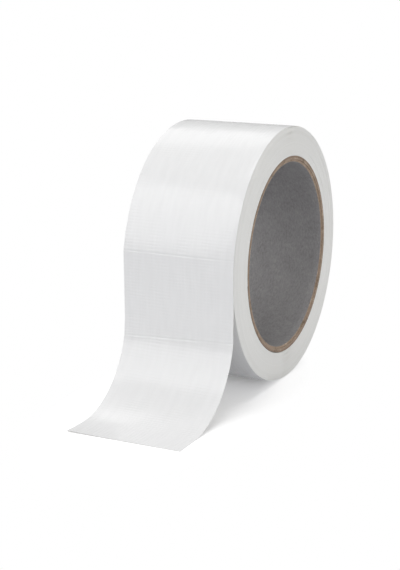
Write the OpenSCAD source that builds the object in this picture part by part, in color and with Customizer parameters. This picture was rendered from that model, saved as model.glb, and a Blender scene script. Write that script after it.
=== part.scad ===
/*
  Roll of white cloth repair tape, standing on its rim with its free end pulled off the front.

  The strip is a laminate of plastic film, woven scrim and adhesive. It is wound on a paper core
  as one continuous two centre spiral: half turns about two centres a quarter of a strip either
  side of the axis meet with equal tangents, so each layer lies exactly on the one below it.
  At the peel line the strip leaves the roll tangentially and runs down to the floor in two arcs.

  X is the axis of the roll, the tail runs towards -Y and Z is up. The origin is the bore centre.
*/

/* [Core] */
// Bore of the paper core
bore_d = 76.2; // [60:0.1:90]
// Thickness of the grey paper liner in the bore
liner_t = 0.4; // [0.2:0.1:0.8]
// Thickness of one kraft paper ply
ply_t = 0.7; // [0.4:0.1:1]

/* [Tape] */
// Width of the tape
tape_w = 48; // [19:1:100]
// Thickness of the plastic film, the outer face
film_t = 0.08; // [0.04:0.02:0.16]
// Thickness of the woven scrim
scrim_t = 0.06; // [0.04:0.02:0.12]
// Thickness of the adhesive, the inner face
adhesive_t = 0.1; // [0.06:0.02:0.2]
// Number of full turns on the core
turns = 50; // [10:1:80]
// How far a turn's edge may stray sideways from a true stack
edge_wander = 0.1; // [0.02:0.02:0.4]

/* [Tail] */
// Angle of the peel line below the level of the axis, at the front
peel_drop = 6.2; // [0:0.1:12]
// Radius of the tail's gentle upper bend, at the film
upper_bend_r = 63.6; // [50:0.2:90]
// Angle that the upper bend turns through, down to the crease
upper_bend_turn = 17.6; // [12:0.2:22]
// Length of the tip that lies flat on the floor
tip_l = 10; // [4:0.5:30]
// Gap between the hinged stretches of the tail
crease_gap = 0.3; // [0.2:0.05:0.5]

/* [Hidden] */
$fn = 240;

film_white = [0.93, 0.93, 0.92];
scrim_white = [0.86, 0.85, 0.82];
adhesive_cream = [0.83, 0.82, 0.79];
liner_grey = [0.42, 0.41, 0.41];
kraft_brown = [0.56, 0.49, 0.43];

// Radii of the core, ply by ply from the bore outwards
bore_r = bore_d / 2;
liner_r = bore_r + liner_t;
inner_ply_r = liner_r + ply_t;
middle_ply_r = inner_ply_r + ply_t;
core_r = middle_ply_r + ply_t;
// The core is just wide enough to stand level with the turn that strays most
core_w = tape_w + 2 * edge_wander;

// Where each layer begins inside the strip, measured from the strip's inner face
strip_t = adhesive_t + scrim_t + film_t;
adhesive_from = 0;
scrim_from = adhesive_t;
film_from = adhesive_t + scrim_t;

// The two centres of the spiral lie this far from the axis, on the line through the peel line
centre_shift = strip_t / 4;
first_r = core_r + centre_shift;
last_r = first_r + (turns - 0.5) * strip_t;
half_turn = 180;

// Sideways place of each turn: it strays in a slow beat and is back in line at the outermost turn
stray_step = 80;
function stray(turn) = edge_wander * sin(stray_step * (turns - 1 - turn));

// Distance from the axis to the film at the peel line, and the lowest point of the roll
peel_r = centre_shift + last_r + strip_t;
roll_foot = -(last_r + strip_t / 2) + centre_shift * sin(peel_drop);

// The lower bend carries on from the upper one, and its radius brings the strip level on the floor
lower_bend_turn = 90 + peel_drop - upper_bend_turn;
function thousandths(v) = round(v * 1000) / 1000;
crease_z = -(peel_r + upper_bend_r) * sin(peel_drop) - upper_bend_r * sin(upper_bend_turn - peel_drop);
lower_bend_r = thousandths(
  (crease_z - roll_foot - strip_t) / (1 - sin(upper_bend_turn - peel_drop))
);

// Angles that the crease gap takes up at each end of a bend
upper_gap_turn = crease_gap / upper_bend_r * 180 / PI;
lower_gap_turn = crease_gap / lower_bend_r * 180 / PI;
middle_turn = lower_bend_turn / 2;

// Turns a profile's own X and Y into the part's Y and Z, so that its axis lies along X
module side_on() {
  rotate([90, 0, 90])
    children();
}

// A tube along the axis
module tube(inner_r, outer_r) {
  side_on()
    difference() {
      cylinder(h = core_w, r = outer_r, center = true);
      cylinder(h = 2 * core_w, r = inner_r, center = true);
    }
}

// A strip of the tape's width bent around the profile's origin
module bent_strip(r, t, start, turn) {
  rotate([0, 0, start])
    rotate_extrude(angle = turn)
      translate([r, -tape_w / 2])
        square([t, tape_w]);
}

// One layer of the strip wound on the core, as half turns about the two centres in turn
module wound_layer(from, t) {
  side_on()
    rotate([0, 0, peel_drop])
      union()
        for (turn = [0 : turns - 1]) {
          translate([centre_shift, 0, stray(turn)])
            bent_strip(first_r + turn * strip_t + from, t, half_turn, half_turn);
          translate([-centre_shift, 0, stray(turn)])
            bent_strip(first_r + (turn + 0.5) * strip_t + from, t, 0, half_turn);
        }
}

// Places a profile at the centre of the tail's upper bend, with X towards the peel line
module upper_bend() {
  side_on()
    rotate([0, 0, peel_drop])
      translate([-peel_r - upper_bend_r, 0, 0])
        children();
}

// Places a profile at the centre of the lower bend, with X towards the crease
module lower_bend() {
  upper_bend()
    rotate([0, 0, -upper_bend_turn])
      translate([upper_bend_r - lower_bend_r, 0, 0])
        children();
}

// One layer of the tail's upper stretch, from the peel line to the crease.
// On the tail the film is on the hollow side of the bend, so depth counts from the film.
module tail_upper(depth, t) {
  upper_bend()
    bent_strip(
      upper_bend_r + depth, t, -upper_bend_turn + upper_gap_turn / 2,
      upper_bend_turn - 1.5 * upper_gap_turn
    );
}

// One layer of the tail's middle stretch, the first half of the lower bend
module tail_middle(depth, t) {
  lower_bend()
    bent_strip(
      lower_bend_r + depth, t, -middle_turn + lower_gap_turn / 2,
      middle_turn - lower_gap_turn
    );
}

// One layer of the tail's lower stretch, the rest of the bend and the tip flat on the floor
module tail_lower(depth, t) {
  lower_bend()
    union() {
      bent_strip(
        lower_bend_r + depth, t, -lower_bend_turn, middle_turn - lower_gap_turn / 2
      );
      rotate([0, 0, -lower_bend_turn])
        translate([lower_bend_r + depth, -tip_l, -tape_w / 2])
          cube([t, tip_l, tape_w]);
    }
}

module core_liner() {
  color(liner_grey)
    tube(bore_r, liner_r);
}

module core_inner_ply() {
  color(kraft_brown)
    tube(liner_r, inner_ply_r);
}

module core_middle_ply() {
  color(kraft_brown)
    tube(inner_ply_r, middle_ply_r);
}

module core_outer_ply() {
  color(kraft_brown)
    tube(middle_ply_r, core_r);
}

module wound_film() {
  color(film_white)
    wound_layer(film_from, film_t);
}

module wound_scrim() {
  color(scrim_white)
    wound_layer(scrim_from, scrim_t);
}

module wound_adhesive() {
  color(adhesive_cream)
    wound_layer(adhesive_from, adhesive_t);
}

module tail_upper_film() {
  color(film_white)
    tail_upper(0, film_t);
}

module tail_upper_scrim() {
  color(scrim_white)
    tail_upper(film_t, scrim_t);
}

module tail_upper_adhesive() {
  color(adhesive_cream)
    tail_upper(film_t + scrim_t, adhesive_t);
}

module tail_middle_film() {
  color(film_white)
    tail_middle(0, film_t);
}

module tail_middle_scrim() {
  color(scrim_white)
    tail_middle(film_t, scrim_t);
}

module tail_middle_adhesive() {
  color(adhesive_cream)
    tail_middle(film_t + scrim_t, adhesive_t);
}

module tail_lower_film() {
  color(film_white)
    tail_lower(0, film_t);
}

module tail_lower_scrim() {
  color(scrim_white)
    tail_lower(film_t, scrim_t);
}

module tail_lower_adhesive() {
  color(adhesive_cream)
    tail_lower(film_t + scrim_t, adhesive_t);
}

core_liner();
core_inner_ply();
core_middle_ply();
core_outer_ply();
wound_film();
wound_scrim();
wound_adhesive();
tail_upper_film();
tail_upper_scrim();
tail_upper_adhesive();
tail_middle_film();
tail_middle_scrim();
tail_middle_adhesive();
tail_lower_film();
tail_lower_scrim();
tail_lower_adhesive();
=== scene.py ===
"""A roll of white cloth repair tape with its free end peeled off and lying on the floor.

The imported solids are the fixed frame. Every piece below is made in metres where its solid is,
and the sections follow the roll as it is made: the paper core, the turns of tape wound on it,
the outermost turn with its free end, and then the floor, light and camera.
"""

import math

import bpy
import numpy as np
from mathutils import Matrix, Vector


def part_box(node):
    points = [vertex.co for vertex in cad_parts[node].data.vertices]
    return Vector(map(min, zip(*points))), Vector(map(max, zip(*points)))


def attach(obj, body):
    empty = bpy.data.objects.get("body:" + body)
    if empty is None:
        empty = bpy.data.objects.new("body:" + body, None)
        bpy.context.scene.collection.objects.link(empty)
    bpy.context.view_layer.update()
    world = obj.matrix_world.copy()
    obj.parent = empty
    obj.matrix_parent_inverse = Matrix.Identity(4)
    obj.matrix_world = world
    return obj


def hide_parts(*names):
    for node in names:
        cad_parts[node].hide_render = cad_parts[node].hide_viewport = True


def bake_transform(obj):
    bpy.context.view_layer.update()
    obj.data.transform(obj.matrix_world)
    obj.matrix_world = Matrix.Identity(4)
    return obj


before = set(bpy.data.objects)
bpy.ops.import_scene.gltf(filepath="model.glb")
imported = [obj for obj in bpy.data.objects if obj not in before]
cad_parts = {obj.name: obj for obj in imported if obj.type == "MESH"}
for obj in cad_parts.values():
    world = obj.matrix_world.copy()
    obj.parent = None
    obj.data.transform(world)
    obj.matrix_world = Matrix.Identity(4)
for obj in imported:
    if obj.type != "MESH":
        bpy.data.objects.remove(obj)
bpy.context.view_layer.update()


# Core liner. A strip of thin grey recycled paper, wound first round the mandrel in a slow helix,
# so that it lines the bore almost up to both ends. Its edges meet in one slanting butt seam, and
# both ends are cut square with the core.

MM = 0.001
WHOLE_TURN = 2 * math.pi


def linear(hex_colour):
    """Turns an sRGB hex value into the linear colour that a shader socket takes."""
    channels = [int(hex_colour[i:i + 2], 16) / 255 for i in (1, 3, 5)]
    return [c / 12.92 if c <= 0.04045 else ((c + 0.055) / 1.055) ** 2.4 for c in channels] + [1]


def node(tree, kind, inputs=None, **settings):
    """Adds a node with its settings. An input takes a value, or a socket that is linked to it."""
    made = tree.nodes.new(kind)
    for name, value in settings.items():
        setattr(made, name, value)
    for name, value in (inputs or {}).items():
        if isinstance(value, bpy.types.NodeSocket):
            tree.links.new(value, made.inputs[name])
        else:
            made.inputs[name].default_value = value
    return made


def finish_material(name):
    """An empty material of that name, and its node tree."""
    material = bpy.data.materials.new(name)
    material.use_nodes = True
    material.node_tree.nodes.clear()
    return material, material.node_tree


def ramp(tree, factor, stops):
    """A colour ramp from hex colours at the given places."""
    made = node(tree, "ShaderNodeValToRGB", {"Fac": factor})
    made.color_ramp.elements.remove(made.color_ramp.elements[1])
    for i, (place, colour) in enumerate(stops):
        stop = made.color_ramp.elements[0] if i == 0 else made.color_ramp.elements.new(place)
        stop.position = place
        stop.color = linear(colour)
    return made.outputs["Color"]


def smooth_piece(name, mesh, sharp_degrees):
    """An object of that name from a mesh, smooth except where two faces meet sharply."""
    mesh.name = name
    mesh.shade_smooth()
    mesh.set_sharp_from_angle(angle=math.radians(sharp_degrees))
    piece = bpy.data.objects.new(name, mesh)
    bpy.context.collection.objects.link(piece)
    return piece


def piece_from(name, verts, faces):
    """An object of that name from points and faces."""
    mesh = bpy.data.meshes.new(name)
    mesh.from_pydata([tuple(v) for v in verts], [], faces)
    mesh.validate()
    return smooth_piece(name, mesh, sharp_degrees=40)


def paper_ring(name, inner_r, outer_r, half_w, seam_at, seam_gap, roughness, seed):
    """One wound ply of paper: a ring whose butt seam slants as the helix does.

    The columns of the grid follow the helix, so the seam is a column of its own. The two cut
    ends are rough by a few hundredths of a millimetre, as a knife leaves board.
    """
    rng = np.random.default_rng(seed)
    helix_advance = 110 * MM
    seam_half_w = 0.1 * MM
    edge = 0.1 * MM
    bevel = 0.3 * edge
    near_seam = np.array([0.08, 0.16, 0.3]) * MM / inner_r
    columns = np.unique(np.concatenate([np.linspace(0, WHOLE_TURN, 256, endpoint=False),
                                        near_seam, WHOLE_TURN - near_seam]))
    across = np.linspace(-half_w + edge, half_w - edge, 15)
    cut_end = [(half_w - bevel, inner_r + bevel), (half_w, inner_r + edge),
               (half_w, (inner_r + outer_r) / 2),
               (half_w, outer_r - edge), (half_w - bevel, outer_r - bevel)]
    profile = ([(x, inner_r, "inside") for x in across]
               + [(x, r, "end") for x, r in cut_end]
               + [(x, outer_r, "outside") for x in across[::-1]]
               + [(-x, r, "end") for x, r in cut_end[::-1]])
    verts = []
    for column in columns:
        off_seam = min(column, WHOLE_TURN - column) * inner_r
        groove = seam_gap * math.exp(-(off_seam / seam_half_w) ** 2)
        rough = roughness * rng.normal(size=len(profile))
        for (x, r, wall), jitter in zip(profile, rough):
            angle = seam_at + column + WHOLE_TURN * x / helix_advance
            r += groove if wall == "inside" else 0
            x -= abs(jitter) * np.sign(x) if wall == "end" else 0
            verts.append((x, r * math.cos(angle), r * math.sin(angle)))
    n, m = len(columns), len(profile)
    faces = [(i * m + j, i * m + (j + 1) % m, (i + 1) % n * m + (j + 1) % m, (i + 1) % n * m + j)
             for i in range(n) for j in range(m)]
    return piece_from(name, verts, faces)


def grey_liner_paper():
    # Recycled paper: matt, faintly cloudy where the pulp lies thicker, with fibres that lie
    # along the strip, so that they run round the bore. Real fibres are about 0.2 mm wide; they
    # are drawn 0.7 mm wide, so that they show.
    cloud_size = 6 * MM
    fibre_w = 0.7 * MM
    fibre_l = 1.4 * MM
    material, tree = finish_material("grey recycled liner paper")
    place = node(tree, "ShaderNodeTexCoord").outputs["Object"]
    cloud = node(tree, "ShaderNodeTexNoise",
                 {"Vector": place, "Scale": 1 / cloud_size, "Detail": 2, "Roughness": 0.6})
    drawn = node(tree, "ShaderNodeVectorMath",
                 {0: place, 1: (1 / fibre_w, 1 / fibre_l, 1 / fibre_l)}, operation="MULTIPLY")
    fibre = node(tree, "ShaderNodeTexNoise",
                 {"Vector": drawn.outputs[0], "Scale": 1.0, "Detail": 3, "Roughness": 0.7})
    mixed = node(tree, "ShaderNodeMix", {"Factor": 0.72, "A": cloud.outputs["Fac"],
                                         "B": fibre.outputs["Fac"]})
    colour = ramp(tree, mixed.outputs["Result"],
                  [(0.28, "#83807e"), (0.45, "#929090"), (0.55, "#999797"), (0.72, "#a9a7a4")])
    bump = node(tree, "ShaderNodeBump",
                {"Height": fibre.outputs["Fac"], "Strength": 0.5, "Distance": 0.06 * MM})
    shader = node(tree, "ShaderNodeBsdfPrincipled",
                  {"Base Color": colour, "Roughness": 0.85, "IOR": 1.45, "Normal": bump.outputs[0]})
    node(tree, "ShaderNodeOutputMaterial", {"Surface": shader.outputs[0]})
    return material


core_half_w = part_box("core_liner")[1].x
bore_r = 38.1 * MM
# The paper is thinner than its solid, and the first ply is soft enough to fill the rest
liner_r = bore_r + 0.15 * MM
inner_half_w = core_half_w - 0.6 * MM
liner_half_w = inner_half_w - 0.06 * MM
seam_in_front = math.radians(180)
liner = paper_ring("liner", bore_r, liner_r, liner_half_w, seam_in_front,
                   seam_gap=0.1 * MM, roughness=0.01 * MM, seed=1)
liner.data.materials.append(grey_liner_paper())
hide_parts("core_liner")
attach(liner, "roll")


# Kraft plies. Three strips of brown board glued round the liner, each over the seam of the one
# below. Only their cut ends show, as a brown ring with fine lines where the plies meet. The
# inner ply is pressed back a little at both ends, where the mandrel's collar held the core.

def kraft_board(name, body, light, dark):
    # Unbleached board cut across its plies: dull brown, flecked with paler fibres and a few
    # dark specks, and scuffed paler where the knife dragged. Real flecks are about 0.3 mm;
    # they are drawn 0.8 mm long so that they show.
    fleck_size = 0.8 * MM
    scuff_size = 4 * MM
    material, tree = finish_material(name)
    place = node(tree, "ShaderNodeTexCoord").outputs["Object"]
    fleck = node(tree, "ShaderNodeTexNoise",
                 {"Vector": place, "Scale": 1 / fleck_size, "Detail": 3, "Roughness": 0.65})
    scuff = node(tree, "ShaderNodeTexNoise",
                 {"Vector": place, "Scale": 1 / scuff_size, "Detail": 1, "Roughness": 0.5})
    uneven = node(tree, "ShaderNodeMix", {"Factor": 0.5, "A": fleck.outputs["Fac"],
                                          "B": scuff.outputs["Fac"]})
    colour = ramp(tree, uneven.outputs["Result"],
                  [(0.36, dark), (0.47, body), (0.55, body), (0.66, light)])
    bump = node(tree, "ShaderNodeBump",
                {"Height": fleck.outputs["Fac"], "Strength": 0.6, "Distance": 0.08 * MM})
    shader = node(tree, "ShaderNodeBsdfPrincipled",
                  {"Base Color": colour, "Roughness": 0.9, "IOR": 1.45, "Normal": bump.outputs[0]})
    node(tree, "ShaderNodeOutputMaterial", {"Surface": shader.outputs[0]})
    return material


glued_board = kraft_board("kraft board soaked with glue", "#998574", "#b8a591", "#766859")
dry_board = kraft_board("dry kraft board", "#a99583", "#c6b4a0", "#867664")
seam_step = math.radians(75)
ply_inner_r = liner_r
for i, ply in enumerate(("core_inner_ply", "core_middle_ply", "core_outer_ply")):
    ply_outer_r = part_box(ply)[1].z
    ply_half_w = inner_half_w if ply == "core_inner_ply" else core_half_w
    ring = paper_ring(ply.replace("core_", ""), ply_inner_r, ply_outer_r, ply_half_w,
                      seam_in_front + (i + 1) * seam_step,
                      seam_gap=0, roughness=0.03 * MM, seed=2 + i)
    ring.data.materials.append(glued_board if ply == "core_outer_ply" else dry_board)
    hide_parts(ply)
    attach(ring, "roll")
    ply_inner_r = ply_outer_r
core_r = ply_outer_r


# Wound turns. The tape itself, wound tight on the core: 50 turns of one strip, laminated from a
# white film and a backing of gauze and adhesive. Only the edges of the turns show, as fine rings
# on both sides of the roll, and each turn lies a little to the left or right of the one below.

# The wear of the roll's shoulders changes from front to back over this far either side of the axis
wear_reach = 10 * MM


def wound_strip_tree(material):
    """A strip with chamfered edges, wound round the X axis as a spiral that strays sideways.

    The turns stray further in a narrow stripe at the top and at the bottom, where the roll was
    pinched. The last turns are rounded off at the shoulders, less so at the left and behind.
    """
    tree = bpy.data.node_groups.new("wound strip", "GeometryNodeTree")
    for name in ("Turns", "First Radius", "Pitch", "Thickness", "Width", "Edge Stray", "Pinch",
                 "Chamfer", "Start Angle", "Shoulder Depth", "Shoulder Drop", "Shoulder Ease",
                 "Left Worn", "Back Worn", "Seed"):
        tree.interface.new_socket(name, in_out="INPUT", socket_type="NodeSocketFloat")
    tree.interface.new_socket("Steps", in_out="INPUT", socket_type="NodeSocketInt")
    tree.interface.new_socket("Geometry", in_out="OUTPUT", socket_type="NodeSocketGeometry")
    given = node(tree, "NodeGroupInput").outputs
    rim = node(tree, "ShaderNodeMath", {0: given["Turns"], 1: given["Pitch"],
                                        2: given["First Radius"]}, operation="MULTIPLY_ADD")
    spiral = node(tree, "GeometryNodeCurveSpiral",
                  {"Resolution": given["Steps"], "Rotations": given["Turns"],
                   "Start Radius": given["First Radius"], "End Radius": rim.outputs[0],
                   "Height": 0.0})

    # Sideways stray: a slow one all round, and one of each turn for itself in the pinched stripe
    slow_rate = 0.8
    turn_rate = 3.7
    stripe_sharpness = 160.0
    along = node(tree, "GeometryNodeSplineParameter").outputs["Factor"]
    turn = node(tree, "ShaderNodeMath", {0: along, 1: given["Turns"], 2: given["Seed"]},
                operation="MULTIPLY_ADD")
    slow = node(tree, "ShaderNodeTexNoise",
                {"W": turn.outputs[0], "Scale": slow_rate, "Detail": 1.0}, noise_dimensions="1D")
    slow_centred = node(tree, "ShaderNodeMath", {0: slow.outputs["Fac"], 1: 0.5},
                        operation="SUBTRACT")
    slow_stray = node(tree, "ShaderNodeMath", {0: slow_centred.outputs[0], 1: given["Edge Stray"]},
                      operation="MULTIPLY")
    sine = node(tree, "ShaderNodeMath", {0: given["Start Angle"]}, operation="SINE")
    cosine = node(tree, "ShaderNodeMath", {0: given["Start Angle"]}, operation="COSINE")
    up = node(tree, "ShaderNodeCombineXYZ", {"X": sine.outputs[0], "Y": cosine.outputs[0]})
    spoke = node(tree, "ShaderNodeVectorMath",
                 {0: node(tree, "GeometryNodeInputPosition").outputs[0]}, operation="NORMALIZE")
    upright = node(tree, "ShaderNodeVectorMath", {0: spoke.outputs[0], 1: up.outputs[0]},
                   operation="DOT_PRODUCT")
    squared = node(tree, "ShaderNodeMath", {0: upright.outputs["Value"], 1: 2.0},
                   operation="POWER")
    stripe = node(tree, "ShaderNodeMath", {0: squared.outputs[0], 1: stripe_sharpness},
                  operation="POWER")
    each_turn = node(tree, "ShaderNodeTexNoise", {"W": turn.outputs[0], "Scale": turn_rate},
                     noise_dimensions="1D")
    turn_centred = node(tree, "ShaderNodeMath", {0: each_turn.outputs["Fac"], 1: 0.5},
                        operation="SUBTRACT")
    pinched = node(tree, "ShaderNodeMath", {0: turn_centred.outputs[0], 1: stripe.outputs[0]},
                   operation="MULTIPLY")
    stray = node(tree, "ShaderNodeMath", {0: pinched.outputs[0], 1: given["Pinch"],
                                          2: slow_stray.outputs[0]}, operation="MULTIPLY_ADD")
    offset = node(tree, "ShaderNodeCombineXYZ", {"Z": stray.outputs[0]})
    strayed = node(tree, "GeometryNodeSetPosition",
                   {"Geometry": spiral.outputs["Curve"], "Offset": offset.outputs[0]})

    # The strip's section is swept along the spiral, which is then laid on its side
    levelled = node(tree, "GeometryNodeSetCurveNormal", {"Curve": strayed.outputs[0]},
                    mode="Z_UP")
    section = node(tree, "GeometryNodeCurvePrimitiveQuadrilateral",
                   {"Width": given["Thickness"], "Height": given["Width"]})
    chamfered = node(tree, "GeometryNodeFilletCurve",
                     {"Curve": section.outputs[0], "Radius": given["Chamfer"], "Count": 1},
                     mode="POLY")
    swept = node(tree, "GeometryNodeCurveToMesh",
                 {"Curve": levelled.outputs[0], "Profile Curve": chamfered.outputs[0],
                  "Fill Caps": True})
    start = node(tree, "ShaderNodeCombineXYZ", {"Z": given["Start Angle"]})
    turned = node(tree, "GeometryNodeTransform",
                  {"Geometry": swept.outputs[0], "Rotation": start.outputs[0]})
    on_side = node(tree, "GeometryNodeTransform",
                   {"Geometry": turned.outputs[0],
                    "Rotation": (math.radians(90), 0, math.radians(90))})

    # Shoulders: near the rim each side drops towards the axis and eases towards the middle
    apart = node(tree, "ShaderNodeSeparateXYZ",
                 {"Vector": node(tree, "GeometryNodeInputPosition").outputs[0]})
    flat = node(tree, "ShaderNodeCombineXYZ", {"Y": apart.outputs["Y"], "Z": apart.outputs["Z"]})
    radius = node(tree, "ShaderNodeVectorMath", {0: flat.outputs[0]}, operation="LENGTH")
    below = node(tree, "ShaderNodeMath", {0: rim.outputs[0], 1: given["Shoulder Depth"]},
                 operation="SUBTRACT")
    near_rim = node(tree, "ShaderNodeMapRange",
                    {"Value": radius.outputs["Value"], "From Min": below.outputs[0],
                     "From Max": rim.outputs[0]})
    rounding = node(tree, "ShaderNodeMath", {0: near_rim.outputs[0], 1: 2.0}, operation="POWER")
    outward = node(tree, "ShaderNodeVectorMath", {0: flat.outputs[0]}, operation="NORMALIZE")
    side = node(tree, "ShaderNodeMath", {0: apart.outputs["X"]}, operation="SIGN")
    worn = node(tree, "ShaderNodeMapRange",
                {"Value": side.outputs[0], "From Min": -1.0, "To Min": given["Left Worn"]})
    handled = node(tree, "ShaderNodeMapRange",
                   {"Value": apart.outputs["Y"], "From Min": wear_reach, "From Max": -wear_reach,
                    "To Min": given["Back Worn"]})
    rounded = node(tree, "ShaderNodeMath", {0: rounding.outputs[0], 1: handled.outputs[0]},
                   operation="MULTIPLY")
    dropped = node(tree, "ShaderNodeMath", {0: worn.outputs[0], 1: given["Shoulder Drop"]},
                   operation="MULTIPLY")
    drop = node(tree, "ShaderNodeVectorMath",
                {0: outward.outputs[0], "Scale": dropped.outputs[0]}, operation="SCALE")
    eased = node(tree, "ShaderNodeMath", {0: worn.outputs[0], 1: given["Shoulder Ease"]},
                 operation="MULTIPLY")
    ease = node(tree, "ShaderNodeMath", {0: side.outputs[0], 1: eased.outputs[0]},
                operation="MULTIPLY")
    across = node(tree, "ShaderNodeCombineXYZ", {"X": ease.outputs[0]})
    both = node(tree, "ShaderNodeVectorMath", {0: drop.outputs[0], 1: across.outputs[0]},
                operation="ADD")
    less = node(tree, "ShaderNodeMath", {0: rounded.outputs[0], 1: -1.0}, operation="MULTIPLY")
    inwards = node(tree, "ShaderNodeVectorMath", {0: both.outputs[0], "Scale": less.outputs[0]},
                   operation="SCALE")
    shouldered = node(tree, "GeometryNodeSetPosition",
                      {"Geometry": on_side.outputs[0], "Offset": inwards.outputs[0]})
    realised = node(tree, "GeometryNodeRealizeInstances", {"Geometry": shouldered.outputs[0]})
    dressed = node(tree, "GeometryNodeSetMaterial",
                   {"Geometry": realised.outputs[0], "Material": material})
    node(tree, "NodeGroupOutput", {"Geometry": dressed.outputs[0]})
    return tree


def bake_nodes(name, tree, values):
    """Runs a node tree with these values and gives the result as a plain mesh object."""
    blank = bpy.data.objects.new("blank", bpy.data.meshes.new("blank"))
    bpy.context.collection.objects.link(blank)
    modifier = blank.modifiers.new("make", "NODES")
    modifier.node_group = tree
    for socket in tree.interface.items_tree:
        if socket.in_out == "INPUT" and socket.name in values:
            modifier[socket.identifier] = values[socket.name]
    bpy.context.view_layer.update()
    graph = bpy.context.evaluated_depsgraph_get()
    mesh = bpy.data.meshes.new_from_object(blank.evaluated_get(graph))
    bpy.data.objects.remove(blank)
    return smooth_piece(name, mesh, sharp_degrees=25)


def edge_on_material(name, body, light, roughness):
    # Cut edges of film and adhesive seen side on: a satin off-white with faint darker and
    # lighter turns where the slitting knife dragged. The rings are 0.24 mm apart in the mesh;
    # the tone here changes over about 1.5 mm, so that it shows.
    tone_size = 1.5 * MM
    material, tree = finish_material(name)
    place = node(tree, "ShaderNodeTexCoord").outputs["Object"]
    apart = node(tree, "ShaderNodeSeparateXYZ", {"Vector": place})
    flat = node(tree, "ShaderNodeCombineXYZ", {"X": apart.outputs["Y"], "Y": apart.outputs["Z"]})
    radius = node(tree, "ShaderNodeVectorMath", {0: flat.outputs[0]}, operation="LENGTH")
    rings = node(tree, "ShaderNodeTexNoise",
                 {"W": radius.outputs["Value"], "Scale": 1 / tone_size, "Detail": 3,
                  "Roughness": 0.7}, noise_dimensions="1D")
    colour = ramp(tree, rings.outputs["Fac"], [(0.3, body), (0.7, light)])
    shader = node(tree, "ShaderNodeBsdfPrincipled",
                  {"Base Color": colour, "Roughness": roughness, "IOR": 1.5})
    node(tree, "ShaderNodeOutputMaterial", {"Surface": shader.outputs[0]})
    return material


film_t = 0.08 * MM
scrim_t = 0.06 * MM
adhesive_t = 0.10 * MM
strip_t = film_t + scrim_t + adhesive_t
tape_w = 48 * MM
turns = 50
peel_angle = math.radians(186.2)
hairline = 0.004 * MM
shoulder_drop = 0.28 * MM
# The turns drop less than the strip that lies over them, so that no gap shows under its edge
wound_drop = shoulder_drop - 0.08 * MM
left_worn = 0.3
back_worn = 0.2

for name, depth, layer_t, narrower, slot, stands_for, finish in (
        ("wound_backing", 0, strip_t - film_t, 0.03 * MM, "adhesive",
         ("wound_scrim", "wound_adhesive"),
         edge_on_material("gauze and adhesive edge", "#efeee9", "#f4f3ef", 0.5)),
        ("wound_film_turns", strip_t - film_t, film_t, 0, "film", ("wound_film",),
         edge_on_material("polyethylene film edge", "#f3f3f1", "#f7f7f5", 0.4))):
    wound = bake_nodes(name, wound_strip_tree(finish), {
        "Turns": float(turns - 1), "First Radius": core_r + depth + layer_t / 2,
        "Pitch": strip_t, "Thickness": layer_t - hairline, "Width": tape_w - narrower,
        "Edge Stray": 0.16 * MM, "Pinch": 0.9 * MM, "Chamfer": 0.14 * layer_t,
        "Start Angle": peel_angle, "Shoulder Depth": 3.5 * MM, "Shoulder Drop": wound_drop,
        "Shoulder Ease": 0.6 * MM, "Left Worn": left_worn, "Back Worn": back_worn,
        "Seed": 7.0, "Steps": 128})
    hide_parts(*stands_for)
    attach(wound, "roll")


# Outermost turn and free end. The white film face of the strip: once round the roll, then off
# it at the peel line, down to the floor and out in a flat tip. It is one strip, laid here in
# four lengths.

centre_shift = strip_t / 4
last_upper_r = core_r + centre_shift + (turns + 0.5) * strip_t
last_lower_r = last_upper_r - strip_t / 2
peel_r = last_upper_r + centre_shift
upper_bend_r = 63.6 * MM
upper_bend_turn = math.radians(17.6)
tip_l = 10 * MM
floor_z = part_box("tail_lower_adhesive")[0].z

# The lower bend begins this far below the level of the upper bend's centre, as an angle
below_level = upper_bend_turn + math.pi - peel_angle
towards_peel = np.array([math.cos(peel_angle), math.sin(peel_angle)])
upper_centre = (peel_r + upper_bend_r) * towards_peel
bends_meet_z = upper_centre[1] - upper_bend_r * math.sin(below_level)
lower_bend_r = (bends_meet_z - floor_z - strip_t) / (1 - math.sin(below_level))
lower_centre = upper_centre + (upper_bend_r - lower_bend_r) * np.array(
    [math.cos(-below_level), math.sin(-below_level)])
upper_bend_l = upper_bend_r * upper_bend_turn
lower_bend_l = lower_bend_r * (math.pi / 2 - below_level)
upper_half_l = math.pi * last_upper_r
lower_half_l = math.pi * last_lower_r
tail_l = upper_bend_l + lower_bend_l + tip_l


def strip_line(s):
    """The film's outer face in Y and Z, and the way it faces, at a length s from the peel line.

    Below zero is on the roll, where the two halves of the outermost turn have centres a quarter
    of a strip either side of the axis. Above zero is the free end.
    """
    s = np.asarray(s, float)
    lower = s < -upper_half_l
    angle = np.where(lower, peel_angle - math.pi + (s + upper_half_l) / last_lower_r,
                     peel_angle + s / last_upper_r)
    centre = np.where(lower[:, None], -centre_shift * towards_peel, centre_shift * towards_peel)
    radius = np.where(lower, last_lower_r, last_upper_r)
    facing = np.stack([np.cos(angle), np.sin(angle)], 1)
    place = centre + radius[:, None] * facing
    for begin, bend_r, middle, start in (
            (0, upper_bend_r, upper_centre, peel_angle - math.pi),
            (upper_bend_l, lower_bend_r, lower_centre, -below_level)):
        on = s > begin
        angle = start - (s - begin) / bend_r
        out = np.stack([np.cos(angle), np.sin(angle)], 1)
        place[on] = (middle + bend_r * out)[on]
        facing[on] = -out[on]
    flat = s > upper_bend_l + lower_bend_l
    place[flat] = np.stack([lower_centre[0] - (s - upper_bend_l - lower_bend_l),
                            np.full_like(s, lower_centre[1] - lower_bend_r)], 1)[flat]
    facing[flat] = (0, 1)
    return place, facing


strip_left = -23.8 * MM
strip_right = 23.4 * MM
crease_high = -13.6 * MM
crease_low = 19.7 * MM
crease_slant = 0.043
panel_lean = math.radians(1.1)


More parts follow.
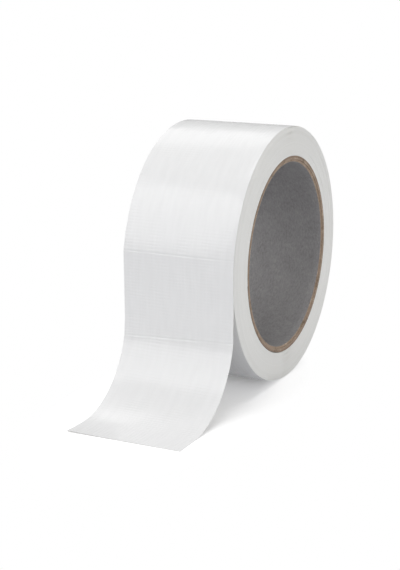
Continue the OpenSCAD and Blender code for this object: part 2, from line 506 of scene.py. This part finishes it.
def fade(value, begin, end):
    """Goes in a straight line from 0 at begin to 1 at end."""
    return np.clip((value - begin) / (end - begin), 0, 1)


def to_panel(s):
    """How far the flat panel stands off the strip's plain line, outwards, at a length s.

    The panel touches the roll a little above the peel line and hangs straight from there.
    """
    outward = np.array([-math.cos(panel_lean), -math.sin(panel_lean)])
    touch = last_upper_r * outward
    place, facing = strip_line(s)
    return (touch - place) @ outward / (facing @ outward)


def creased_panel(s, x):
    """How far the panel between the two creases, and the creases, stand off the plain shape.

    The panel hangs flat. So it stands a little off the roll at the upper crease, where a fine
    groove was folded in, and is drawn in at the lower crease, which has two fine ridges and runs
    aslant. At the right it stands off less, and at the left it is drawn in less. The creases are
    a little broken all along, and weaker at the right.
    """
    eases_above = 9 * MM
    eases_below = 15 * MM
    up = s - crease_high
    low = s - crease_low + crease_slant * x
    panel = to_panel(np.clip(s, crease_high, crease_low - crease_slant * x))
    less_right = 1 - 0.9 * fade(x, 8 * MM, 22 * MM)
    less_left = 1 - 0.6 * fade(x, -6 * MM, -24 * MM)
    lift = np.where(panel > 0, panel * less_right, panel * less_left)
    lift = np.where(up < 0, lift * np.exp(up / eases_above), lift)
    lift = np.where(low > 0, lift / (1 + (low / eases_below) ** 2), lift)
    broken = 0.9 + 0.2 * np.sin(x / (6.3 * MM) + 1.0) + 0.2 * np.sin(x / (1.7 * MM))
    strength = broken * (1 - 0.4 * fade(x, -4 * MM, 16 * MM))
    for off_line, height, half_w in ((up, -0.18 * MM, 0.36 * MM),
                                     (low + 0.6 * MM, 0.09 * MM, 0.34 * MM),
                                     (low - 0.6 * MM, 0.08 * MM, 0.34 * MM)):
        lift = lift + height * strength * np.exp(-(off_line / half_w) ** 2)
    return lift


def loose_end(s, x):
    """How far the film ripples below the creases, and how far its tip has lifted off the floor.

    The left corner of the tip has lifted most.
    """
    ripple_h = 0.04 * MM
    tip_lift = 0.05 * MM
    corner_lift = 0.3 * MM
    lifted_l = 9 * MM
    free = fade(s, 25 * MM, 45 * MM) * fade(tail_l - s, 0, 6 * MM)
    ripple = (np.sin(s / (4.1 * MM) + 0.8 * np.sin(x / (9 * MM)))
              + 0.7 * np.sin(x / (5.3 * MM) + s / (11 * MM)))
    near_tip = np.maximum((s - tail_l + lifted_l) / lifted_l, 0)
    near_corner = fade(x, 5 * MM, -24 * MM) ** 1.5
    return ripple_h * free * ripple + (tip_lift + corner_lift * near_corner) * near_tip ** 2


def worn_edges(s, x):
    """How far the strip's two edges are turned down: most where it lies on the roll's front."""
    worn_w = 4.5 * MM
    worn_on_tail = 0.3
    on_roll = np.maximum(fade(s, 8 * MM, 0), worn_on_tail)
    behind = fade(strip_line(s)[0][:, 0], -wear_reach, wear_reach)
    handled = on_roll * (1 - (1 - back_worn) * behind)
    right = fade(strip_right - x, worn_w, 0) ** 2
    left = fade(x - strip_left, worn_w, 0) ** 2
    return shoulder_drop * handled * (right + left_worn * left)


def on_strip(s, x, depth):
    """Points of the strip in X, Y and Z: s along it, x across it and depth below the film's face.

    The tip is cut a little aslant, so its left side is the longer one.
    """
    cut_slant = 0.7 * MM
    s = s + cut_slant * fade(s, tail_l - tip_l, tail_l) * (strip_right - x) / tape_w
    place, facing = strip_line(s)
    off = creased_panel(s, x) + loose_end(s, x) - worn_edges(s, x) - depth
    return np.stack([x, place[:, 0] + facing[:, 0] * off, place[:, 1] + facing[:, 1] * off], 1)


def strip_piece(name, begin, end, from_depth, to_depth, finish):
    """A closed length of one layer of the strip, with its width and length in metres as its UV.

    The rows close up at both ends, so that two lengths of film meet without a line, and at the
    creases, which are finer than the rows elsewhere. The columns close up at the worn edges.
    """
    row_step = 0.8 * MM
    end_step = 0.02 * MM
    crease_step = 0.12 * MM
    crease_reach = 2.4 * MM
    rows = [np.linspace(begin, end, max(2, round((end - begin) / row_step))),
            np.array([begin + end_step, end - end_step])]
    for at in (crease_high, crease_low):
        near = np.arange(at - crease_reach, at + crease_reach, crease_step)
        rows.append(near[(near > begin) & (near < end)])
    rows = np.unique(np.round(np.concatenate(rows), 8))
    edge_columns = np.array([0.15, 0.3, 0.5, 0.75, 1.05, 1.4, 1.8, 2.3, 2.9, 3.6]) * MM
    columns = np.unique(np.concatenate([np.linspace(strip_left, strip_right, 48),
                                        strip_left + edge_columns, strip_right - edge_columns]))
    n, m = len(rows), len(columns)
    s, x = (grid.ravel() for grid in np.meshgrid(rows, columns, indexing="ij"))
    verts = np.concatenate([on_strip(s, x, from_depth), on_strip(s, x, to_depth)])
    i, j = np.meshgrid(np.arange(n - 1), np.arange(m - 1), indexing="ij")
    corner = (i * m + j).ravel()
    top = np.stack([corner, corner + m, corner + m + 1, corner + 1], 1)
    bottom = top[:, ::-1] + n * m
    r, c = np.arange(n - 1), np.arange(m - 1)
    walls = []
    for a, b in ((r * m, (r + 1) * m), ((r + 1) * m + m - 1, r * m + m - 1),
                 (c + 1, c), ((n - 1) * m + c, (n - 1) * m + c + 1)):
        walls.append(np.stack([a, a + n * m, b + n * m, b], 1))
    faces = np.concatenate([top, bottom] + walls)
    piece = piece_from(name, verts, faces.tolist())
    flat = piece.data.uv_layers.new(name="tape")
    corners = np.empty(len(piece.data.loops), int)
    piece.data.loops.foreach_get("vertex_index", corners)
    uv = np.stack([x, s], 1)
    flat.data.foreach_set("uv", np.concatenate([uv, uv])[corners].ravel())
    piece.data.materials.append(finish)
    return piece


def white_film():
    # Polyethylene film laid hot over a gauze: bright white and satin, with the threads of the
    # gauze showing through as fine broken ridges along and across the strip, more in some places
    # than in others. Real threads are about 0.5 mm apart; they are drawn nearly three times as
    # far apart so that they show.
    wander_w = 2.4 * MM
    wander_l = 14 * MM
    wander_angle = 5.0
    slub_w = 1 * MM
    slub_l = 4 * MM
    patch_size = 9 * MM
    streak_w = 2.2 * MM
    streak_l = 13 * MM
    material, tree = finish_material("white polyethylene film over gauze")
    uv = node(tree, "ShaderNodeUVMap", uv_map="tape").outputs["UV"]
    apart = node(tree, "ShaderNodeSeparateXYZ", {"Vector": uv})
    heights = []
    for axis, pitch, weight, wander, swelling in (
            ("X", 1.5 * MM, 0.7, (1 / wander_w, 1 / wander_l, 1), (1 / slub_w, 1 / slub_l, 1)),
            ("Y", 1.3 * MM, 0.8, (1 / wander_l, 1 / wander_w, 1), (1 / slub_l, 1 / slub_w, 1))):
        uneven = node(tree, "ShaderNodeVectorMath", {0: uv, 1: wander}, operation="MULTIPLY")
        bend = node(tree, "ShaderNodeTexNoise", {"Vector": uneven.outputs[0], "Scale": 1.0,
                                                 "Detail": 1})
        turn = node(tree, "ShaderNodeMath", {0: apart.outputs[axis], 1: WHOLE_TURN / pitch},
                    operation="MULTIPLY")
        drift = node(tree, "ShaderNodeMath", {0: bend.outputs["Fac"], 1: wander_angle,
                                              2: turn.outputs[0]}, operation="MULTIPLY_ADD")
        thread = node(tree, "ShaderNodeMath", {0: drift.outputs[0]}, operation="SINE")
        thick = node(tree, "ShaderNodeVectorMath", {0: uv, 1: swelling}, operation="MULTIPLY")
        slub = node(tree, "ShaderNodeTexNoise", {"Vector": thick.outputs[0], "Scale": 1.0,
                                                 "Detail": 2, "Roughness": 0.6})
        swell = node(tree, "ShaderNodeMath", {0: thread.outputs[0], 1: slub.outputs["Fac"]},
                     operation="MULTIPLY")
        heights.append(node(tree, "ShaderNodeMath", {0: swell.outputs[0], 1: weight},
                            operation="MULTIPLY").outputs[0])
    weave = node(tree, "ShaderNodeMath", {0: heights[0], 1: heights[1]}, operation="ADD")
    patch = node(tree, "ShaderNodeTexNoise", {"Vector": uv, "Scale": 1 / patch_size, "Detail": 1})
    pressed = node(tree, "ShaderNodeMapRange", {"Value": patch.outputs["Fac"], "From Min": 0.35,
                                                "From Max": 0.65, "To Min": 0.2, "To Max": 1.7})
    height = node(tree, "ShaderNodeMath", {0: weave.outputs[0], 1: pressed.outputs[0]},
                  operation="MULTIPLY")
    bump = node(tree, "ShaderNodeBump",
                {"Height": height.outputs[0], "Strength": 1.0, "Distance": 0.019 * MM})
    drawn = node(tree, "ShaderNodeVectorMath", {0: uv, 1: (1 / streak_w, 1 / streak_l, 1)},
                 operation="MULTIPLY")
    tone = node(tree, "ShaderNodeTexNoise", {"Vector": drawn.outputs[0], "Scale": 1.0,
                                             "Detail": 3})
    colour = ramp(tree, tone.outputs["Fac"], [(0.25, "#f0f0f0"), (0.75, "#f4f4f4")])
    shader = node(tree, "ShaderNodeBsdfPrincipled",
                  {"Base Color": colour, "Roughness": 0.13, "IOR": 1.5, "Normal": bump.outputs[0]})
    node(tree, "ShaderNodeOutputMaterial", {"Surface": shader.outputs[0]})
    return material


def at_length(s):
    """The point on the film's middle line at a length s from the peel line."""
    place = strip_line([s])[0][0]
    return (0, place[0], place[1])


def lay_on(piece, bodies, bend):
    """Makes a length of the strip follow its body. A length with a bend is not attached to a body;
    its transform is only baked into its mesh.
    """
    if bend:
        at_length(bend[0])
        at_length(bend[1])
        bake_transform(piece)
    else:
        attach(piece, bodies[0])


# Each length: where it begins and ends, the bodies it lies on, and the span where it goes from one
# to the next
middle_begins = 13 * MM
lower_begins = 31 * MM
lengths = (
    ("back", -upper_half_l - lower_half_l, -upper_half_l, ("roll",), None),
    ("front", -upper_half_l, middle_begins, ("roll", "tail_upper"), (0.3 * MM, 12.5 * MM)),
    ("middle", middle_begins, lower_begins, ("tail_upper", "tail_middle"),
     (13.5 * MM, 25.5 * MM)),
    ("lower", lower_begins, tail_l, ("tail_middle", "tail_lower"), (33 * MM, 52 * MM)))

film_finish = white_film()
for name, begin, end, bodies, bend in lengths:
    film = strip_piece("film_" + name, begin, end, 0, film_t, film_finish)
    lay_on(film, bodies, bend)
    if bend:
        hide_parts(*[b + "_film" for b in bodies if b != "roll"])


# Backing. The adhesive under the film, in the same four lengths: a rubber mass spread hot over
# the gauze, so that it fills the weave. On the free end its face shows from behind.

def cream_adhesive():
    # Natural rubber adhesive: cream white, tacky and a little glossy, with faint streaks about
    # 2 mm wide along the strip, which the spreading knife left.
    streak_w = 2 * MM
    streak_l = 9 * MM
    material, tree = finish_material("cream rubber adhesive")
    uv = node(tree, "ShaderNodeUVMap", uv_map="tape").outputs["UV"]
    spread = node(tree, "ShaderNodeVectorMath", {0: uv, 1: (1 / streak_w, 1 / streak_l, 1)},
                  operation="MULTIPLY")
    smear = node(tree, "ShaderNodeTexNoise", {"Vector": spread.outputs[0], "Scale": 1.0,
                                              "Detail": 3})
    colour = ramp(tree, smear.outputs["Fac"], [(0.3, "#edebe3"), (0.7, "#f4f2ec")])
    bump = node(tree, "ShaderNodeBump",
                {"Height": smear.outputs["Fac"], "Strength": 0.5, "Distance": 0.03 * MM})
    shader = node(tree, "ShaderNodeBsdfPrincipled",
                  {"Base Color": colour, "Roughness": 0.45, "IOR": 1.52, "Normal": bump.outputs[0]})
    node(tree, "ShaderNodeOutputMaterial", {"Surface": shader.outputs[0]})
    return material


adhesive_finish = cream_adhesive()
for name, begin, end, bodies, bend in lengths:
    # On the free end the adhesive lies lower, so that the gauze stands out of it
    spread_t = strip_t - (0.02 * MM if "roll" in bodies else 0.05 * MM)
    backing = strip_piece("backing_" + name, begin, end, film_t + hairline, spread_t,
                          adhesive_finish)
    lay_on(backing, bodies, bend)
    if bend:
        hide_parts(*[b + "_adhesive" for b in bodies if b != "roll"])


# Gauze. An open plain weave of white cotton, bedded in the adhesive under the film. Where the
# tape is wound it is buried, and on the free end its threads stand a little out of the adhesive.

def gauze_tree(material):
    """A flat open weave: warp threads along Y and weft threads along X, over and under."""
    wander_size = 3 * MM
    tree = bpy.data.node_groups.new("gauze", "GeometryNodeTree")
    for name in ("Width", "Length", "Warp Pitch", "Weft Pitch", "Thread Radius", "Crimp",
                 "Wander", "Seed"):
        tree.interface.new_socket(name, in_out="INPUT", socket_type="NodeSocketFloat")
    tree.interface.new_socket("Geometry", in_out="OUTPUT", socket_type="NodeSocketGeometry")
    given = node(tree, "NodeGroupInput").outputs
    section = node(tree, "GeometryNodeCurvePrimitiveCircle",
                   {"Resolution": 5, "Radius": given["Thread Radius"]})
    both = node(tree, "GeometryNodeJoinGeometry")
    spaces, reach = {}, {}
    for axis, size, pitch in (("X", "Width", "Warp Pitch"), ("Y", "Length", "Weft Pitch")):
        many = node(tree, "ShaderNodeMath", {0: given[size], 1: given[pitch]}, operation="DIVIDE")
        spaces[axis] = node(tree, "ShaderNodeMath", {0: many.outputs[0]}, operation="FLOOR")
        reach[axis] = node(tree, "ShaderNodeMath", {0: spaces[axis].outputs[0], 1: given[pitch]},
                           operation="MULTIPLY")
    for axis, along, pitch, side in (("X", "Y", "Warp Pitch", 1.0), ("Y", "X", "Weft Pitch", -1.0)):
        threads = node(tree, "ShaderNodeMath", {0: spaces[axis].outputs[0], 1: 1.0},
                       operation="ADD")
        points = node(tree, "ShaderNodeMath", {0: spaces[along].outputs[0], 1: 1.0},
                      operation="ADD")
        step = node(tree, "ShaderNodeCombineXYZ", {axis: given[pitch]})
        row = node(tree, "GeometryNodeMeshLine",
                   {"Count": threads.outputs[0], "Offset": step.outputs[0]})
        far_end = node(tree, "ShaderNodeCombineXYZ", {along: reach[along].outputs[0]})
        straight = node(tree, "GeometryNodeCurvePrimitiveLine", {"End": far_end.outputs[0]})
        stepped = node(tree, "GeometryNodeResampleCurve",
                       {"Curve": straight.outputs[0], "Count": points.outputs[0]})
        laid = node(tree, "GeometryNodeInstanceOnPoints",
                    {"Points": row.outputs[0], "Instance": stepped.outputs[0]})
        loose = node(tree, "GeometryNodeRealizeInstances", {"Geometry": laid.outputs[0]})
        place = node(tree, "GeometryNodeInputPosition").outputs[0]
        apart = node(tree, "ShaderNodeSeparateXYZ", {"Vector": place})
        waves = []
        for way, space in (("X", "Warp Pitch"), ("Y", "Weft Pitch")):
            half_turns = node(tree, "ShaderNodeMath", {0: apart.outputs[way], 1: given[space]},
                              operation="DIVIDE")
            turned = node(tree, "ShaderNodeMath", {0: half_turns.outputs[0], 1: math.pi},
                          operation="MULTIPLY")
            waves.append(node(tree, "ShaderNodeMath", {0: turned.outputs[0]}, operation="COSINE"))
        over = node(tree, "ShaderNodeMath", {0: waves[0].outputs[0], 1: waves[1].outputs[0]},
                    operation="MULTIPLY")
        sided = node(tree, "ShaderNodeMath", {0: given["Crimp"], 1: side}, operation="MULTIPLY")
        rise = node(tree, "ShaderNodeMath", {0: over.outputs[0], 1: sided.outputs[0]},
                    operation="MULTIPLY")
        slow = node(tree, "ShaderNodeTexNoise",
                    {"Vector": place, "W": given["Seed"], "Scale": 1 / wander_size, "Detail": 1},
                    noise_dimensions="4D")
        centred = node(tree, "ShaderNodeMath", {0: slow.outputs["Fac"], 1: 0.5},
                       operation="SUBTRACT")
        wandered = node(tree, "ShaderNodeMath", {0: centred.outputs[0], 1: given["Wander"]},
                        operation="MULTIPLY")
        offset = node(tree, "ShaderNodeCombineXYZ", {axis: wandered.outputs[0],
                                                     "Z": rise.outputs[0]})
        woven = node(tree, "GeometryNodeSetPosition",
                     {"Geometry": loose.outputs[0], "Offset": offset.outputs[0]})
        spun = node(tree, "GeometryNodeCurveToMesh",
                    {"Curve": woven.outputs[0], "Profile Curve": section.outputs[0],
                     "Fill Caps": True})
        tree.links.new(spun.outputs[0], both.inputs[0])
    realised = node(tree, "GeometryNodeRealizeInstances", {"Geometry": both.outputs[0]})
    dressed = node(tree, "GeometryNodeSetMaterial",
                   {"Geometry": realised.outputs[0], "Material": material})
    node(tree, "NodeGroupOutput", {"Geometry": dressed.outputs[0]})
    return tree


def cotton_thread():
    # Bleached cotton yarn, spun and not sized: soft and matt, a little darker where adhesive
    # has soaked in. Real slubs are about 0.3 mm long; they are drawn 1 mm long so that they show.
    slub_size = 1 * MM
    material, tree = finish_material("bleached cotton gauze")
    place = node(tree, "ShaderNodeTexCoord").outputs["Object"]
    slub = node(tree, "ShaderNodeTexNoise", {"Vector": place, "Scale": 1 / slub_size, "Detail": 2})
    colour = ramp(tree, slub.outputs["Fac"], [(0.3, "#e2dfd4"), (0.5, "#efede5"), (0.7, "#f8f7f2")])
    bump = node(tree, "ShaderNodeBump",
                {"Height": slub.outputs["Fac"], "Strength": 0.5, "Distance": 0.02 * MM})
    shader = node(tree, "ShaderNodeBsdfPrincipled",
                  {"Base Color": colour, "Roughness": 0.8, "IOR": 1.47, "Normal": bump.outputs[0]})
    node(tree, "ShaderNodeOutputMaterial", {"Surface": shader.outputs[0]})
    return material


# Real threads are about 0.5 mm apart. They are laid nearly twice as far apart, so that they show
warp_pitch = 0.95 * MM
weft_pitch = 0.85 * MM
selvedge = 0.3 * MM
off_roll = 2 * MM
thread_depth = 0.165 * MM
strip_w = strip_right - strip_left
weave_nodes = gauze_tree(cotton_thread())
for i, (name, begin, end, bodies, bend) in enumerate(lengths[1:]):
    first_thread = max(begin, off_roll) + selvedge
    gauze = bake_nodes("gauze_" + name, weave_nodes, {
        "Width": strip_w - 2 * selvedge, "Length": end - selvedge - first_thread,
        "Warp Pitch": warp_pitch, "Weft Pitch": weft_pitch, "Thread Radius": 0.06 * MM,
        "Crimp": 0.015 * MM, "Wander": 0.35 * MM, "Seed": float(i)})
    flat = np.empty(3 * len(gauze.data.vertices))
    gauze.data.vertices.foreach_get("co", flat)
    x, s, rise = flat.reshape(-1, 3).T
    hung = on_strip(first_thread + s, strip_right - selvedge - x, thread_depth - rise)
    gauze.data.vertices.foreach_set("co", hung.ravel())
    gauze.data.update()
    lay_on(gauze, bodies, bend)
    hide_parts(*[b + "_scrim" for b in bodies if b != "roll"])


# Floor, light and camera. A white card that fades into a white surround, one soft light above
# the roll, a large one at the front left, a low one at the right and a weak one behind, in a
# pale room, as in a catalogue photograph.

def pale_floor():
    # White card: matt and even. Where the camera or a reflection sees it, it is lifted towards
    # white, so that only the roll's own shadow shows on it, and further out it is plain white.
    shadow_centre = (-2 * MM, -48 * MM, floor_z)
    shadow_half_w = 29 * MM
    shadow_half_l = 62 * MM
    material, tree = finish_material("white card")
    path = node(tree, "ShaderNodeLightPath").outputs
    seen = node(tree, "ShaderNodeMath", {0: path["Is Camera Ray"], 1: path["Is Glossy Ray"]},
                operation="MAXIMUM")
    seen_at_all = node(tree, "ShaderNodeMath",
                       {0: seen.outputs[0], 1: path["Is Transmission Ray"]}, operation="MAXIMUM")
    lit = node(tree, "ShaderNodeBsdfDiffuse", {"Color": linear("#d2d3d7")})
    white = node(tree, "ShaderNodeEmission", {"Color": (1, 1, 1, 1), "Strength": 1.0})
    glow = node(tree, "ShaderNodeEmission", {"Color": (1, 1, 1, 1), "Strength": 0.21})
    bright = node(tree, "ShaderNodeBsdfDiffuse", {"Color": (1.15, 1.15, 1.15, 1)})
    lifted = node(tree, "ShaderNodeAddShader", {0: bright.outputs[0], 1: glow.outputs[0]})
    place = node(tree, "ShaderNodeTexCoord").outputs["Object"]
    from_centre = node(tree, "ShaderNodeVectorMath", {0: place, 1: shadow_centre},
                       operation="SUBTRACT")
    oval = node(tree, "ShaderNodeVectorMath",
                {0: from_centre.outputs[0], 1: (1 / shadow_half_w, 1 / shadow_half_l, 1)},
                operation="MULTIPLY")
    away = node(tree, "ShaderNodeVectorMath", {0: oval.outputs[0]}, operation="LENGTH")
    far = node(tree, "ShaderNodeMapRange", {"Value": away.outputs["Value"], "From Min": 0.9,
                                            "From Max": 1.5})
    card = node(tree, "ShaderNodeMixShader", {0: far.outputs[0], 1: lifted.outputs[0],
                                              2: white.outputs[0]})
    both = node(tree, "ShaderNodeMixShader", {0: seen_at_all.outputs[0], 1: lit.outputs[0],
                                              2: card.outputs[0]})
    node(tree, "ShaderNodeOutputMaterial", {"Surface": both.outputs[0]})
    return material


floor_mesh = bpy.data.meshes.new("floor")
floor_half = 3.0
floor_mesh.from_pydata([(floor_half * x, floor_half * y, floor_z)
                        for x, y in ((-1, -1), (1, -1), (1, 1), (-1, 1))], [], [(0, 1, 2, 3)])
floor = bpy.data.objects.new("floor", floor_mesh)
floor.data.materials.append(pale_floor())
bpy.context.collection.objects.link(floor)

world = bpy.data.worlds.new("pale room")
bpy.context.scene.world = world
world.use_nodes = True
room_tree = world.node_tree
room_tree.nodes.clear()
path = node(room_tree, "ShaderNodeLightPath").outputs
room = node(room_tree, "ShaderNodeBackground", {"Color": (1, 1, 1, 1), "Strength": 0.46})
white = node(room_tree, "ShaderNodeBackground", {"Color": (1, 1, 1, 1), "Strength": 1.0})
either = node(room_tree, "ShaderNodeMixShader",
              {0: path["Is Camera Ray"], 1: room.outputs[0], 2: white.outputs[0]})
node(room_tree, "ShaderNodeOutputWorld", {"Surface": either.outputs[0]})


def soft_box(name, width, height, watts, direction, distance):
    """A soft light of that width and height that faces the roll from that direction."""
    lamp = bpy.data.lights.new(name, "AREA")
    lamp.shape = "RECTANGLE"
    lamp.size = width
    lamp.size_y = height
    lamp.energy = watts
    holder = bpy.data.objects.new(name, lamp)
    away = Vector(direction).normalized()
    holder.location = away * distance
    holder.rotation_mode = "QUATERNION"
    holder.rotation_quaternion = (-away).to_track_quat("-Z", "Y")
    bpy.context.collection.objects.link(holder)


soft_box("top light", width=0.5, height=0.9, watts=4.1,
         direction=(0.0, 0.05, 1.0), distance=1.2)
soft_box("front left light", width=0.9, height=0.9, watts=4.4,
         direction=(-0.5, -0.65, 0.55), distance=1.2)
soft_box("right fill", width=0.9, height=0.36, watts=3.45,
         direction=(0.94, -0.30, 0.14), distance=1.2)
soft_box("back light", width=0.45, height=0.42, watts=0.58,
         direction=(-0.44, 0.53, 0.725), distance=1.0)

# The photograph is 570 pixels high, and the camera fitted to it has this focal length in pixels
photo_h = 570
focal_pixels = 1323.68
looks_down = 14.197
turned_left = 26.29
sensor_w = 36
camera = bpy.data.cameras.new("camera")
camera.sensor_width = sensor_w
camera.lens = focal_pixels * sensor_w / photo_h
camera.clip_start = 0.01
camera_holder = bpy.data.objects.new("camera", camera)
camera_holder.location = (226.8 * MM, -492.5 * MM, 121.5 * MM)
camera_holder.rotation_euler = (math.radians(90 - looks_down), 0, math.radians(turned_left))
bpy.context.collection.objects.link(camera_holder)
bpy.context.scene.camera = camera_holder
bpy.context.scene.view_settings.view_transform = "Standard"
